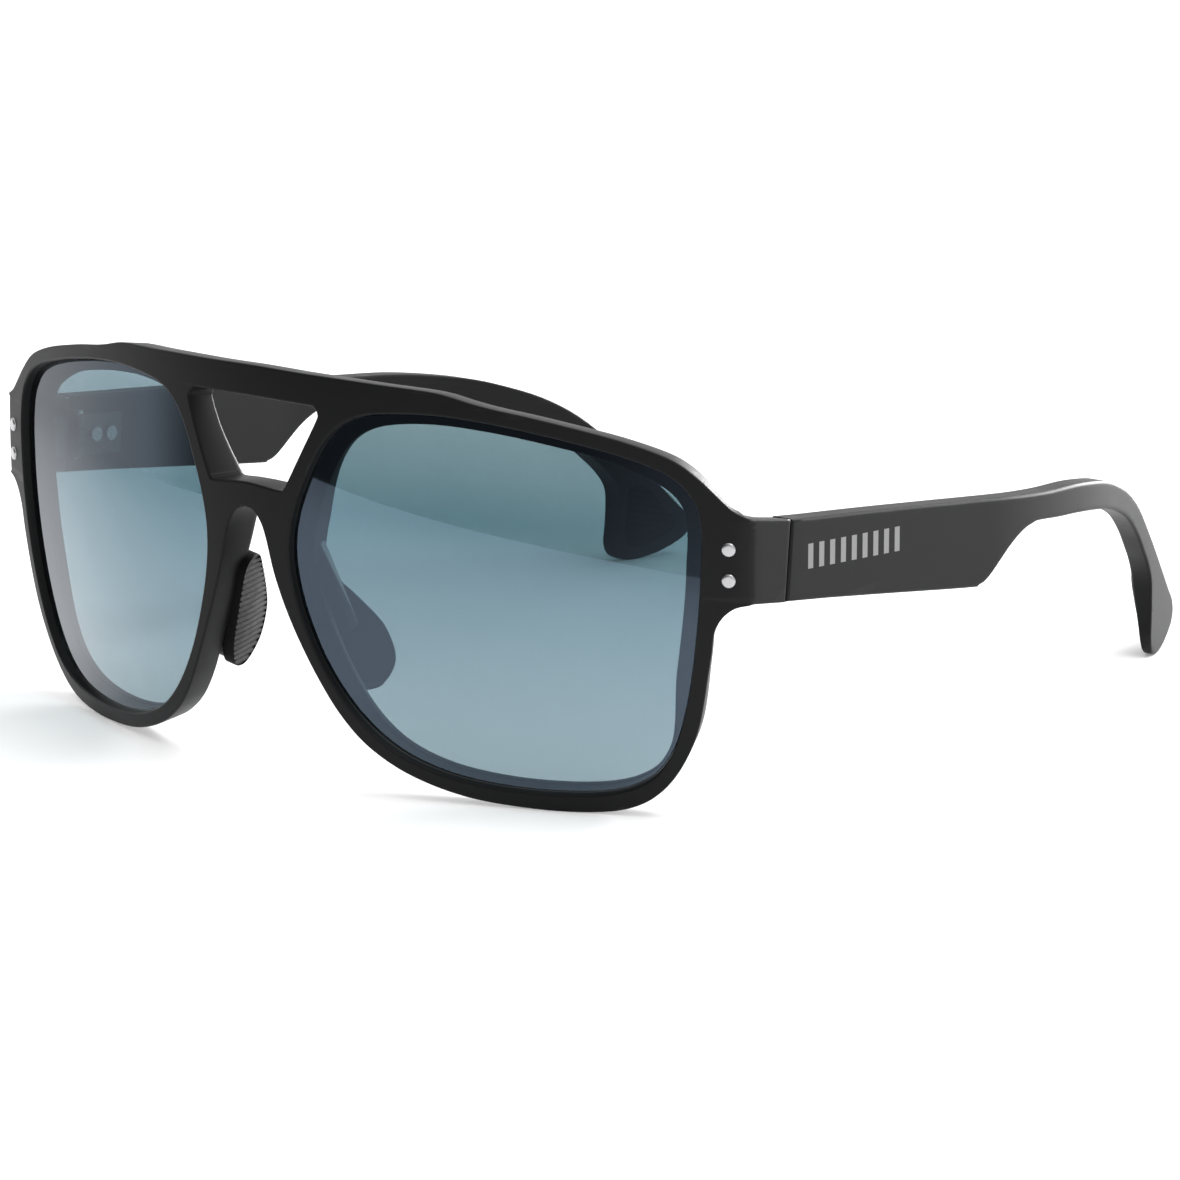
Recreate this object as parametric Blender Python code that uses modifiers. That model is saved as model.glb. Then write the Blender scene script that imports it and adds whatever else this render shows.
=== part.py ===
"""Folding sunglasses: a moulded front with two lenses, two temples on hinges, nose pads and tip grips.

The model is laid out in millimetres in the frame of the front: X to the wearer's left, Y backwards,
Z up, with the origin at the middle of the front face. The last section tips it to rest on the floor
and scales it to metres.
"""

import math

import bmesh
import bpy
from mathutils import Matrix, Vector

# Driving dimensions, in millimetres and degrees.
FRONT_WIDTH = 140.0
FRONT_HEIGHT = 59.7
TEMPLE_REACH = 122.1
TEMPLE_THICKNESS = 3.8
RIM_DEPTH = 4.4
LENS_THICKNESS = 2.0
LENS_RECESS = 1.0
GROOVE_DEPTH = 0.8
REAR_LIP = 1.5
CHAMFER = 0.35
FIT_GAP = 0.2
EDGE_GAP = 0.3
KNUCKLE_RADIUS = 1.15
HINGE_PIN_RADIUS = 0.5
HINGE_RUNNING_GAP = 0.08
HINGE_TILT = 6.8
RIVET_RADIUS = 1.05
PAD_THICKNESS = 1.8
GRIP_PROUD = 0.5

# The lens groove, measured back from the front face.
GROOVE_FRONT = LENS_RECESS
GROOVE_BACK = LENS_RECESS + LENS_THICKNESS + 2 * FIT_GAP

# Sizes the outlines below were drawn at. Each outline is scaled from these to the driving dimensions.
DRAWN_WIDTH = 140.0
DRAWN_HEIGHT = 59.7
DRAWN_REACH = 122.1
WIDE = FRONT_WIDTH / DRAWN_WIDTH
TALL = FRONT_HEIGHT / DRAWN_HEIGHT
LONG = TEMPLE_REACH / DRAWN_REACH

# Right half of the front's outer outline, from the top of the brow down to the nose arch: (x, z).
FRONT_OUTLINE = (
    (0.0, 25.2), (9.0, 25.0), (15.5, 24.8), (21.5, 24.5), (27.0, 24.2), (30.5, 23.9), (32.8, 23.3),
    (34.6, 22.7), (38.0, 22.1), (42.5, 21.4), (48.5, 20.1), (53.7, 18.8), (58.5, 17.3), (61.3, 15.9),
    (64.0, 13.4), (66.2, 11.3), (68.3, 9.3), (69.7, 8.4), (69.7, -3.6), (68.6, -4.0), (67.3, -5.1),
    (66.2, -6.4), (65.6, -7.9), (65.3, -10.3), (64.6, -14.0), (63.8, -18.0), (62.9, -21.5),
    (61.6, -24.8), (59.5, -28.5), (57.0, -31.6), (54.3, -33.4), (50.0, -34.5), (43.5, -34.8),
    (36.0, -34.3), (31.0, -33.5), (26.0, -32.0), (21.5, -30.0), (17.3, -26.8), (14.0, -22.8),
    (11.3, -18.2), (8.7, -13.0), (6.6, -8.2), (4.9, -3.4), (3.8, 0.8), (2.9, 3.4), (1.7, 4.8),
    (0.0, 5.3),
)
# Lens aperture on the left side: (x, z).
APERTURE = (
    (64.2, 1.5), (64.3, 5.5), (63.6, 9.8), (61.2, 13.1), (57.6, 15.2), (52.5, 16.9), (45.5, 18.6),
    (38.0, 20.0), (30.5, 20.8), (24.0, 20.7), (19.0, 20.0), (15.6, 18.3), (13.0, 15.4), (10.7, 11.0),
    (8.8, 6.2), (7.8, 1.5), (8.0, -3.5), (9.4, -9.3), (12.2, -16.2), (16.4, -22.6), (21.6, -27.4),
    (27.8, -30.3), (35.0, -31.8), (43.3, -32.3), (50.8, -31.7), (55.8, -29.6), (58.9, -26.0),
    (60.8, -21.5), (62.4, -15.0), (63.4, -8.5), (64.0, -2.8),
)
# Right half of the window in the bridge, from the top middle to the bottom middle: (x, z).
WINDOW = (
    (0.0, 20.9), (10.2, 20.7), (11.4, 20.4), (12.0, 19.6), (11.8, 18.6), (9.9, 14.6), (7.5, 9.8),
    (6.9, 8.8), (6.0, 8.4), (0.0, 8.9),
)
# Temple from the side, measured back from the hinge: (back, z).
TEMPLE_OUTLINE = (
    (0.0, 6.7), (20.0, 4.5), (48.5, 1.1), (55.1, 0.3), (62.4, -0.5), (70.9, -1.3), (77.9, -2.4),
    (84.0, -3.7), (89.1, -5.3), (96.0, -8.1), (102.2, -11.9), (108.5, -17.5), (113.8, -22.7),
    (119.4, -28.5), (121.4, -30.5), (122.1, -32.5), (121.0, -34.5), (116.9, -36.4), (112.4, -37.1),
    (109.6, -36.2), (108.7, -34.1), (108.9, -31.5), (109.1, -28.0), (108.9, -24.9), (107.3, -22.1),
    (104.4, -19.0), (100.8, -15.6), (95.7, -12.1), (89.1, -9.4), (82.5, -7.6), (72.6, -5.9),
    (65.0, -5.0), (59.3, -4.3), (57.2, -4.4), (54.6, -4.9), (51.0, -6.6), (46.0, -10.0),
    (43.6, -10.9), (41.0, -10.7), (20.0, -7.6), (0.0, -4.7),
)
# Ribbed grip on the inner face of the temple tip: (back, z).
GRIP_OUTLINE = (
    (110.6, -24.8), (113.4, -25.3), (116.3, -28.4), (118.8, -31.2), (118.3, -33.0), (115.0, -34.5),
    (111.7, -34.8), (110.7, -32.6), (110.5, -28.6),
)
# Nose pad in its own plane: along the pad and across it.
PAD_OUTLINE = (
    (-0.6, 0.0), (0.6, -2.0), (4.0, -2.8), (9.0, -3.6), (13.5, -4.0), (17.5, -3.2), (19.7, -1.0),
    (20.0, 1.6), (18.0, 4.6), (13.5, 5.8), (9.0, 5.0), (4.0, 3.5), (0.6, 2.2),
)

# How the front wraps round the face: depth = a x^2 + b x^4 + c z^2, in millimetres.
WRAP_SQUARE = 0.00616
WRAP_FOURTH = -2.36e-7
WRAP_HEIGHT = 0.00335
NOSE_EXTRA_DEPTH = 2.8
NOSE_EXTRA_AT = (8.5, 4.0)
NOSE_EXTRA_SPREAD = (7.0, 8.5)
SLICE_WIDTH = 8.0
SLICE_HEIGHT = 20.0

SIDE_FACE = FRONT_WIDTH / 2
SIDE_INNER = SIDE_FACE - TEMPLE_THICKNESS
HINGE_GAP_Y = 34.2 * WIDE
HINGE_GAP = 0.35
LEAF_THICKNESS = 0.9
HINGE_X = SIDE_INNER - KNUCKLE_RADIUS - 0.1
HINGE_Z = 1.0 * TALL
KNUCKLE_HEIGHT = 2.0
KNUCKLE_GAP = 0.2
LEAF_LENGTH = 10.0
LEAF_BACK_OFF = 1.0
PIN_HEAD = 0.5
BEND_START = 46.5 * LONG
BEND_LENGTH = 40.3 * LONG
BEND_RATE = 0.00478 / LONG
TEMPLE_DROOP = 0.0075

# Returns at the sides of the front: top and bottom where they leave the front and at the hinge.
RETURN_FRONT_Z = (8.3 * TALL, -3.5 * TALL)
RETURN_END_Z = (6.75 * TALL, -4.7 * TALL)
RETURN_CORNER = 0.7
RETURN_ROOT = 1.2
EDGE_ROUND = 0.3

# Nose pads, and the arms that carry them.
PAD_TOP = Vector((5.9 * WIDE, GROOVE_BACK + 2.2, -3.6 * TALL))
PAD_BOTTOM = Vector((14.2 * WIDE, GROOVE_BACK + 8.8, -22.0 * TALL))
PAD_LEAN = Vector((0.3, 0.95, 0.0))
PAD_BACKING = 1.5
PAD_ROOM = 6.0
ARM_ON_PAD = ((1.0, 11.0), (-1.2, 1.4))
ARM_ON_RIM = ((7.2, 1.5), (8.8, 1.5), (8.2, -7.5), (9.4, -7.5), (11.0, -12.5))
ARM_THICKNESS = 2.2

# Rivets in the front, and the screws that hold the hinge to the temple.
RIVET_X = 67.6 * WIDE
RIVET_HEIGHTS = (4.2 * TALL, -0.15 * TALL)
RIVET_PROUD = 0.35
RIVET_LENGTH = 2.6
HOLE_GAP = 0.12
SCREW_RADIUS = 0.7
SCREW_HEAD_RADIUS = 1.1
SCREW_HEAD = 0.35
SCREW_LENGTH = 1.8
SCREW_BACKS = (4.4, 7.6)
SCREW_SEAT = 0.05
ROUND_SEGMENTS = 24
MILLIMETRE = 0.001

LEFT, RIGHT = 1, -1


def material(name, colour, roughness, metallic=0.0, alpha=1.0):
    made = bpy.data.materials.new(name)
    made.use_nodes = True
    shader = made.node_tree.nodes["Principled BSDF"]
    shader.inputs["Base Color"].default_value = (*colour, 1.0)
    shader.inputs["Roughness"].default_value = roughness
    shader.inputs["Metallic"].default_value = metallic
    shader.inputs["Alpha"].default_value = alpha
    return made


def smooth_loop(points, steps=2):
    """The closed outline through the points, with rounded runs between them."""
    count = len(points)
    out = []
    for index in range(count):
        a, b, c, d = (Vector(points[(index + shift) % count]) for shift in (-1, 0, 1, 2))
        for step in range(steps):
            t = step / steps
            across = 2 * b + (c - a) * t + (2 * a - 5 * b + 4 * c - d) * t * t
            out.append((across + (3 * b - a - 3 * c + d) * t**3) / 2)
    return out


def both_halves(points):
    """A closed outline from its right half."""
    return list(points) + [(-x, z) for x, z in reversed(points) if x > 0]


def offset_loop(points, distance):
    """The closed outline moved outwards by a distance."""
    area = sum(a[0] * b[1] - a[1] * b[0] for a, b in zip(points, points[1:] + points[:1]))
    turn = distance if area > 0 else -distance
    out = []
    for index, point in enumerate(points):
        along = (Vector(points[(index + 1) % len(points)]) - Vector(points[index - 1])).normalized()
        out.append(Vector((point[0] + along[1] * turn, point[1] - along[0] * turn)))
    return out


def scaled(points, across, up):
    return [(p[0] * across, p[1] * up) for p in points]


def new_object(name, mesh):
    made = bpy.data.objects.new(name, mesh)
    parts.objects.link(made)
    return made


def bake(thing, name=None):
    """A mesh object holding what the object and its modifiers make. The object itself goes."""
    graph = bpy.context.evaluated_depsgraph_get()
    mesh = bpy.data.meshes.new_from_object(thing.evaluated_get(graph), depsgraph=graph)
    name = name or thing.name
    bpy.data.objects.remove(thing)
    return new_object(name, mesh)


def edit(thing, change):
    work = bmesh.new()
    work.from_mesh(thing.data)
    change(work)
    work.to_mesh(thing.data)
    work.free()
    return thing


def plate(name, loops, low, high, chamfer=0.0):
    """A flat plate with the outlines' shape in its first two axes, from low to high in its third."""
    curve = bpy.data.curves.new(name, "CURVE")
    curve.dimensions = "2D"
    curve.fill_mode = "BOTH"
    curve.extrude = (high - low) / 2 - chamfer
    curve.bevel_depth = chamfer
    curve.bevel_resolution = 0
    curve.offset = -chamfer
    for loop in loops:
        spline = curve.splines.new("POLY")
        spline.points.add(len(loop) - 1)
        for point, place in zip(spline.points, loop):
            point.co = (place[0], place[1], 0.0, 1.0)
        spline.use_cyclic_u = True
    made = bake(new_object(name, curve), name)

    def tidy(work):
        bmesh.ops.remove_doubles(work, verts=work.verts, dist=1e-4)
        bmesh.ops.translate(work, verts=work.verts, vec=(0, 0, (high + low) / 2))
        bmesh.ops.recalc_face_normals(work, faces=work.faces)

    return edit(made, tidy)


def place(thing, matrix):
    """Moves the mesh itself, and keeps its faces turned outwards."""
    thing.data.transform(matrix)
    if matrix.determinant() < 0:
        thing.data.flip_normals()
    return thing


def hull(name, points):
    thing = new_object(name, bpy.data.meshes.new(name))

    def wrap(work):
        corners = [work.verts.new(point) for point in points]
        made = bmesh.ops.convex_hull(work, input=corners)
        bmesh.ops.delete(work, geom=made["geom_interior"], context="VERTS")
        bmesh.ops.dissolve_limit(work, angle_limit=0.01, verts=work.verts, edges=work.edges)
        bmesh.ops.recalc_face_normals(work, faces=work.faces)

    return edit(thing, wrap)


def rod(name, start, end, radius):
    """A round bar between two points."""
    start, end = Vector(start), Vector(end)
    along = end - start
    turn = Vector((0, 0, 1)).rotation_difference(along).to_matrix().to_4x4()
    thing = new_object(name, bpy.data.meshes.new(name))

    def cylinder(work):
        bmesh.ops.create_cone(
            work,
            cap_ends=True,
            segments=ROUND_SEGMENTS,
            radius1=radius,
            radius2=radius,
            depth=along.length,
            matrix=Matrix.Translation((start + end) / 2) @ turn,
        )

    return edit(thing, cylinder)


def rounded(thing, width):
    bevel = thing.modifiers.new("edges", "BEVEL")
    bevel.width = width
    bevel.segments = 1
    bevel.limit_method = "ANGLE"
    bevel.angle_limit = math.radians(40)
    return bake(thing)


def combine(target, tool, operation):
    change = target.modifiers.new(operation, "BOOLEAN")
    change.operation = operation
    change.solver = "EXACT"
    change.object = tool
    made = bake(target)
    bpy.data.objects.remove(tool)
    return made


def mirrored(thing, name):
    made = new_object(name, thing.data.copy())
    return place(made, Matrix.Scale(-1, 4, (1, 0, 0)))


def sliced(thing, axis, positions):
    """Adds edges across the mesh, so that it can follow a bend."""
    normal = Vector([float(index == axis) for index in range(3)])

    def cut(work):
        for position in positions:
            everything = work.verts[:] + work.edges[:] + work.faces[:]
            plane = normal * position
            bmesh.ops.bisect_plane(work, geom=everything, plane_co=plane, plane_no=normal, dist=1e-5)

    return edit(thing, cut)


def triangulated(thing):
    return edit(thing, lambda work: bmesh.ops.triangulate(work, faces=work.faces))


def reshaped(thing, move):
    for vertex in thing.data.vertices:
        vertex.co = move(vertex.co)
    return thing


def steps_between(low, high, step):
    first = math.ceil(low / step)
    return [index * step for index in range(first, int(high // step) + 1)]


def wrap_depth(x, z):
    x /= WIDE
    return WRAP_SQUARE * x * x + WRAP_FOURTH * x**4 + WRAP_HEIGHT * z * z


def nose_depth(x, z):
    """Extra depth of the rim beside the nose, where it carries the pad."""
    across = (abs(x) / WIDE - NOSE_EXTRA_AT[0]) / NOSE_EXTRA_SPREAD[0]
    up = (z / TALL - NOSE_EXTRA_AT[1]) / NOSE_EXTRA_SPREAD[1]
    return NOSE_EXTRA_DEPTH * math.exp(-across * across - up * up)


def inward(x, z):
    """The direction into the front from a point on its face."""
    step = 0.1
    slope_x = (wrap_depth(x + step, z) - wrap_depth(x - step, z)) / (2 * step)
    slope_z = (wrap_depth(x, z + step) - wrap_depth(x, z - step)) / (2 * step)
    return Vector((-slope_x, 1.0, -slope_z)).normalized()


def wrapped(point):
    """A point of the flat front, whose third axis runs forwards, taken to its place."""
    x, z, depth = point[0], point[1], -point[2]
    behind = max(0.0, depth - GROOVE_BACK) / (RIM_DEPTH - GROOVE_BACK)
    return Vector((x, wrap_depth(x, z), z)) + inward(x, z) * (depth + behind * nose_depth(x, z))


def follow_wrap(thing):
    half = SIDE_FACE + SLICE_WIDTH
    sliced(thing, 0, [x + 0.013 for x in steps_between(-half, half, SLICE_WIDTH)])
    sliced(thing, 1, [z + 0.017 for z in steps_between(-FRONT_HEIGHT, FRONT_HEIGHT, SLICE_HEIGHT)])
    triangulated(thing)
    return reshaped(thing, wrapped)


def bend(back):
    """How far the temple has curved inwards at a distance back from the hinge."""
    run = min(max(back - BEND_START, 0.0), BEND_LENGTH)
    beyond = max(back - BEND_START - BEND_LENGTH, 0.0)
    return BEND_RATE * run * run + 2 * BEND_RATE * BEND_LENGTH * beyond


def along_hinge(distance):
    return hinge_point + hinge_axis * distance


def finish(thing, name, look, smooth=True):
    thing.name = name
    thing.data.name = name
    thing.data.materials.clear()
    thing.data.materials.append(look)
    if smooth:
        thing.data.shade_smooth()
        thing.data.set_sharp_from_angle(angle=math.radians(35))
    nodes[name] = thing


for old in list(bpy.data.objects):
    bpy.data.objects.remove(old)
parts = bpy.data.collections.new("folding_sunglasses")
bpy.context.scene.collection.children.link(parts)
nodes = {}

frame_look = material("frame_matte_black", (0.018, 0.018, 0.019), 0.45)
lens_look = material("lens_mirror_teal", (0.25, 0.42, 0.48), 0.05, 0.3, 0.75)
rubber_look = material("rubber_black", (0.012, 0.012, 0.012), 0.75)
steel_look = material("steel_satin", (0.55, 0.55, 0.56), 0.3, 1.0)

# Front: a flat plate with the lens seats cut in it, then wrapped to the face.
aperture = smooth_loop(scaled(APERTURE, WIDE, TALL))
other_aperture = [(-x, z) for x, z in aperture]
rear_hole = offset_loop(aperture, -REAR_LIP)
other_rear_hole = [(-x, z) for x, z in rear_hole]
outline = both_halves(scaled(FRONT_OUTLINE, WIDE, TALL))
window = both_halves(scaled(WINDOW, WIDE, TALL))
front = plate("front", [outline, rear_hole, other_rear_hole, window], -RIM_DEPTH, 0.0, CHAMFER)
for loop in (aperture, other_aperture):
    front = combine(front, plate("seat", [loop], -GROOVE_BACK, 1.0), "DIFFERENCE")
    groove = plate("groove", [offset_loop(loop, GROOVE_DEPTH)], -GROOVE_BACK, -GROOVE_FRONT)
    front = combine(front, groove, "DIFFERENCE")
follow_wrap(front)

# Returns at each side of the front, which carry the hinges.
hinge_axis = Vector((0.0, math.sin(math.radians(HINGE_TILT)), math.cos(math.radians(HINGE_TILT))))
temple_top = TEMPLE_OUTLINE[0][1] * TALL
hinge_y = HINGE_GAP_Y - math.radians(HINGE_TILT) * (temple_top - HINGE_Z)
hinge_point = Vector((HINGE_X, hinge_y, HINGE_Z))
gap_front = hinge_point.y - HINGE_GAP / 2
corner_x = SIDE_FACE - RETURN_CORNER
corner_y = wrap_depth(corner_x, 0.0) + RETURN_CORNER - 0.1
root_y = wrap_depth(SIDE_INNER, 0.0) + RETURN_ROOT
corners = []
for z, end_z in zip(RETURN_FRONT_Z, RETURN_END_Z):
    corners.append((corner_x, corner_y, z))
    corners.append((SIDE_FACE, corner_y + RETURN_CORNER + 0.1, z))
    corners.append((SIDE_INNER, root_y, z))
    end_y = gap_front + math.tan(math.radians(HINGE_TILT)) * (end_z - HINGE_Z)
    corners.append((SIDE_FACE, end_y, end_z))
    corners.append((SIDE_INNER, end_y, end_z))
side_return = rounded(hull("return", corners), EDGE_ROUND)
other_return = mirrored(side_return, "other_return")
front = combine(front, side_return, "UNION")
front = combine(front, other_return, "UNION")

# Nose pads, and the arms of the front that carry them.
pad_along = (PAD_BOTTOM - PAD_TOP).normalized()
pad_across = (PAD_LEAN - pad_along * PAD_LEAN.dot(pad_along)).normalized()
pad_out = pad_across.cross(pad_along)
to_pad = Matrix((pad_along, pad_across, -pad_out)).transposed().to_4x4()
to_pad = Matrix.Translation(PAD_TOP) @ to_pad
pad_loop = smooth_loop(PAD_OUTLINE)
backing_loop = offset_loop(pad_loop, -0.5)


def in_pad(along, across, depth):
    return PAD_TOP + pad_along * along + pad_across * across - pad_out * depth


backing = place(plate("backing", [backing_loop], EDGE_GAP, EDGE_GAP + PAD_BACKING, 0.25), to_pad)
arm_points = []
for along in ARM_ON_PAD[0]:
    for across in ARM_ON_PAD[1]:
        arm_points.append(in_pad(along, across, EDGE_GAP + 0.1))
        arm_points.append(in_pad(along, across, EDGE_GAP + ARM_THICKNESS - 0.1))
for x, z in ARM_ON_RIM:
    arm_root = wrap_depth(x * WIDE, z * TALL) + GROOVE_BACK + EDGE_GAP
    arm_points.append((x * WIDE, arm_root, z * TALL))
    arm_points.append((x * WIDE, arm_root + ARM_THICKNESS, z * TALL))
arm = hull("arm", arm_points)
arm = combine(arm, backing, "UNION")
pad_room = place(plate("room", [offset_loop(pad_loop, EDGE_GAP)], -PAD_ROOM, EDGE_GAP), to_pad)
other_arm = mirrored(arm, "other_arm")
other_room = mirrored(pad_room, "other_room")
for tool in (arm, other_arm):
    front = combine(front, tool, "UNION")
for tool in (pad_room, other_room):
    front = combine(front, tool, "DIFFERENCE")
pad = place(plate("pad", [pad_loop], -PAD_THICKNESS, 0.0, 0.3), to_pad)
finish(mirrored(pad, "other_pad"), "nose_pad_right", rubber_look)
finish(pad, "nose_pad_left", rubber_look)

# Rivets through the front, each in a blind hole square to its face.
for level, z in zip(("upper", "lower"), RIVET_HEIGHTS):
    out = -inward(RIVET_X, z)
    face = Vector((RIVET_X, wrap_depth(RIVET_X, z), z))
    for side, word in ((LEFT, "left"), (RIGHT, "right")):
        flip = Matrix.Scale(side, 4, (1, 0, 0))
        hole_end = face - out * (RIVET_LENGTH + FIT_GAP)
        hole = rod("hole", face + out * RIM_DEPTH, hole_end, RIVET_RADIUS + HOLE_GAP)
        front = combine(front, place(hole, flip), "DIFFERENCE")
        rivet = rounded(rod("rivet", face + out * RIVET_PROUD, face - out * RIVET_LENGTH, RIVET_RADIUS), 0.15)
        finish(place(rivet, flip), f"rivet_{level}_{word}", steel_look)
finish(front, "front_frame", frame_look)

# Lenses, wrapped like the front, each standing in its groove.
lens_front = GROOVE_FRONT + FIT_GAP
for loop, word in ((aperture, "left"), (other_aperture, "right")):
    lens_loop = offset_loop(loop, GROOVE_DEPTH - EDGE_GAP)
    lens = plate("lens", [lens_loop], -lens_front - LENS_THICKNESS, -lens_front)
    finish(follow_wrap(lens), f"lens_{word}", lens_look)

# Hinges: two knuckles on the front's leaf, one on the temple's, and a screw through them.
half_middle = KNUCKLE_HEIGHT / 2
outer_low = half_middle + KNUCKLE_GAP
outer_high = outer_low + KNUCKLE_HEIGHT
leaf_in = SIDE_INNER - EDGE_GAP - LEAF_THICKNESS
leaf_out = SIDE_INNER - EDGE_GAP
hole_radius = HINGE_PIN_RADIUS + HINGE_RUNNING_GAP


def leaf_box(name, x, back, up):
    """A box in the hinge's own frame: back from the axis and up along it."""
    back_axis = Vector((0.0, hinge_axis.z, -hinge_axis.y))
    corners = []
    for a in x:
        for b in back:
            for c in up:
                corners.append(Vector((a, hinge_point.y, hinge_point.z)) + back_axis * b + hinge_axis * c)
    return hull(name, corners)


def knuckle(low, high):
    return rod("knuckle", along_hinge(low), along_hinge(high), KNUCKLE_RADIUS)


# The necks that join the knuckles to the leaves are a little thinner than both.
leaf_up = (0.1 - outer_high, outer_high - 0.1)
leaf_near = KNUCKLE_RADIUS + EDGE_GAP
leaf_far = hinge_point.y - wrap_depth(SIDE_INNER, 0.0) - RIM_DEPTH - LEAF_BACK_OFF
neck_across = (leaf_in + 0.05, leaf_out - 0.05)
neck_near = KNUCKLE_RADIUS / 6
neck_far = leaf_near + EDGE_GAP
leaf_front = leaf_box("leaf", (leaf_in, leaf_out), (-leaf_far, -leaf_near), leaf_up)
for low, high in ((outer_low, outer_high), (-outer_high, -outer_low)):
    neck = leaf_box("neck", neck_across, (-neck_far, -neck_near), (low + 0.15, high - 0.15))
    leaf_front = combine(leaf_front, combine(knuckle(low, high), neck, "UNION"), "UNION")
leaf_back = leaf_box("leaf", (leaf_in, leaf_out), (leaf_near, LEAF_LENGTH), leaf_up)
neck_up = (0.05 - half_middle, half_middle - 0.05)
neck = leaf_box("neck", neck_across, (neck_near, neck_far), neck_up)
leaf_back = combine(leaf_back, combine(knuckle(-half_middle, half_middle), neck, "UNION"), "UNION")
for leaf in ("front", "back"):
    bore = rod("bore", along_hinge(-outer_high - 2), along_hinge(outer_high + 2), hole_radius)
    if leaf == "front":
        leaf_front = combine(leaf_front, bore, "DIFFERENCE")
    else:
        leaf_back = combine(leaf_back, bore, "DIFFERENCE")
screw_end = outer_high + EDGE_GAP
screw = rod("screw", along_hinge(-screw_end), along_hinge(screw_end), HINGE_PIN_RADIUS)
head_low = outer_high + EDGE_GAP / 2
head = rod("head", along_hinge(head_low), along_hinge(head_low + PIN_HEAD), KNUCKLE_RADIUS - 0.1)
screw = combine(screw, head, "UNION")

# Temples: flat side pieces, bent inwards behind the ear, with a grip let into each tip.
temple_loop = scaled(TEMPLE_OUTLINE, LONG, TALL)
start_y = hinge_point.y + HINGE_GAP / 2
grip_loop = smooth_loop(scaled(GRIP_OUTLINE, LONG, TALL))
temple = plate("temple", [temple_loop], 0.0, TEMPLE_THICKNESS, CHAMFER)
pocket = plate("pocket", [offset_loop(grip_loop, FIT_GAP)], -1.0, GRIP_PROUD + FIT_GAP)
temple = combine(temple, pocket, "DIFFERENCE")
grip = plate("grip", [grip_loop], -GRIP_PROUD, GRIP_PROUD, 0.2)


def side_piece(point):
    """A point of a flat side piece, as (back, up, outwards), taken to its place on the left."""
    back, up, out = point
    near_hinge = max(0.0, 1.0 - max(back, 0.0) / SCREW_BACKS[1])
    lean = math.tan(math.radians(HINGE_TILT)) * (up - HINGE_Z) * near_hinge
    return Vector((SIDE_INNER + out - bend(back), start_y + back + lean, up - TEMPLE_DROOP * back))


bend_steps = [back + 0.011 for back in steps_between(BEND_START, TEMPLE_REACH + 4, 4.0)]
for thing in (temple, grip):
    sliced(thing, 0, bend_steps)
    triangulated(thing)
    reshaped(thing, side_piece)

screw_points = []
back_axis = Vector((0.0, hinge_axis.z, -hinge_axis.y))
for back in SCREW_BACKS:
    centre = Vector((leaf_in, hinge_point.y, hinge_point.z)) + back_axis * back
    inner = centre - Vector((SCREW_HEAD + SCREW_SEAT, 0, 0))
    outside = inner - Vector((1.0, 0, 0))
    deep = Vector((SIDE_INNER + SCREW_LENGTH, centre.y, centre.z))
    hole = rod("hole", outside, deep + Vector((FIT_GAP, 0, 0)), SCREW_RADIUS + HOLE_GAP)
    temple = combine(temple, hole, "DIFFERENCE")
    hole = rod("hole", outside, deep, SCREW_RADIUS + HOLE_GAP)
    leaf_back = combine(leaf_back, hole, "DIFFERENCE")
    shank = rod("shank", inner, deep, SCREW_RADIUS)
    head = rod("head", inner, centre - Vector((SCREW_SEAT, 0, 0)), SCREW_HEAD_RADIUS)
    screw_points.append(combine(shank, head, "UNION"))

moving = (
    (temple, "temple", frame_look),
    (grip, "temple_grip", rubber_look),
    (leaf_back, "temple_hinge_leaf", steel_look),
    (screw_points[0], "temple_screw_front", steel_look),
    (screw_points[1], "temple_screw_rear", steel_look),
)
fixed = ((leaf_front, "front_hinge_leaf", steel_look), (screw, "hinge_screw", steel_look))
for thing, name, look in moving + fixed:
    finish(mirrored(thing, name), f"{name}_right", look)
    finish(thing, f"{name}_left", look)

# Rest: tipped so that the rims and the temple tips stand on one floor, and centred over it.
rim_low = min((v.co.z, v.co.y) for v in nodes["front_frame"].data.vertices)
tip_low = min((v.co.z, v.co.y) for v in nodes["temple_left"].data.vertices)
tip_angle = math.atan2(rim_low[0] - tip_low[0], tip_low[1] - rim_low[1])
settle = Matrix.Rotation(tip_angle, 4, "X")
for thing in nodes.values():
    thing.data.transform(settle)
every = [vertex.co for thing in nodes.values() for vertex in thing.data.vertices]
low_z = min(point.z for point in every)
middle_y = (min(point.y for point in every) + max(point.y for point in every)) / 2
settle = Matrix.Translation((0, -middle_y, -low_z)) @ settle
for thing in nodes.values():
    thing.data.transform(Matrix.Translation((0, -middle_y, -low_z)))
    thing.data.transform(Matrix.Scale(MILLIMETRE, 4))

# Each temple's pieces hang from an empty on its hinge axis.
for side, word in ((LEFT, "left"), (RIGHT, "right")):
    pivot = bpy.data.objects.new(f"hinge_axis_{word}", None)
    parts.objects.link(pivot)
    spot = Matrix.Scale(MILLIMETRE, 4) @ settle @ hinge_point
    spot.x *= side
    pivot.location = spot
    for _thing, name, _look in moving:
        nodes[f"{name}_{word}"].parent = pivot
        nodes[f"{name}_{word}"].matrix_parent_inverse = Matrix.Translation(-spot)
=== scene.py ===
import math

import bmesh
import bpy
from mathutils import Matrix, Vector


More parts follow.
